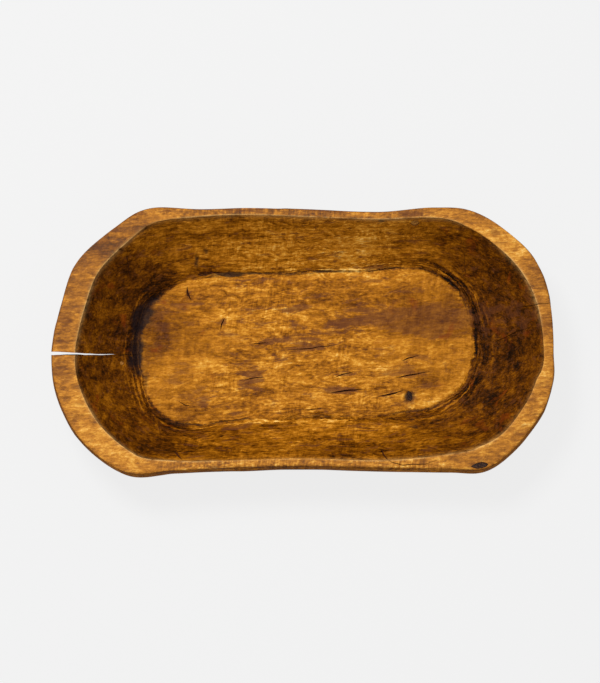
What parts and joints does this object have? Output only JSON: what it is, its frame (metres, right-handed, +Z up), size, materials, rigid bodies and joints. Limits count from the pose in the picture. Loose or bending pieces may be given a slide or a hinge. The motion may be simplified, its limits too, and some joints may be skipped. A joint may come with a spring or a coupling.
{
  "type": "carved wooden dough bowl",
  "caption": "Long oval trough bowl carved from a split log, with thick ends, thin sides, a flat foot, an open drying check in one end and dead knots set in the wood.",
  "frame": {"origin": "on the resting plane, below the middle of the rim's length and width", "axes": "+X along the bowl's length and the grain, towards the end with the narrow rim; +Y across it to the far side; +Z up out of the bowl"},
  "size_m": [0.556, 0.3, 0.09],
  "materials": {
    "waxed_wood": "hand carved, stained golden brown and waxed, semi gloss",
    "dark_knot_wood": "dead knot with bark, dark and dull",
    "pale_knot_wood": "dead pin knot, pale heart with a darker centre, waxed"
  },
  "bodies": {
    "root": {"bowl": "waxed_wood", "rim_knot": "dark_knot_wood", "floor_knot": "dark_knot_wood", "wall_knot": "pale_knot_wood", "pin_knot": "pale_knot_wood"}
  },
  "joints": []
}
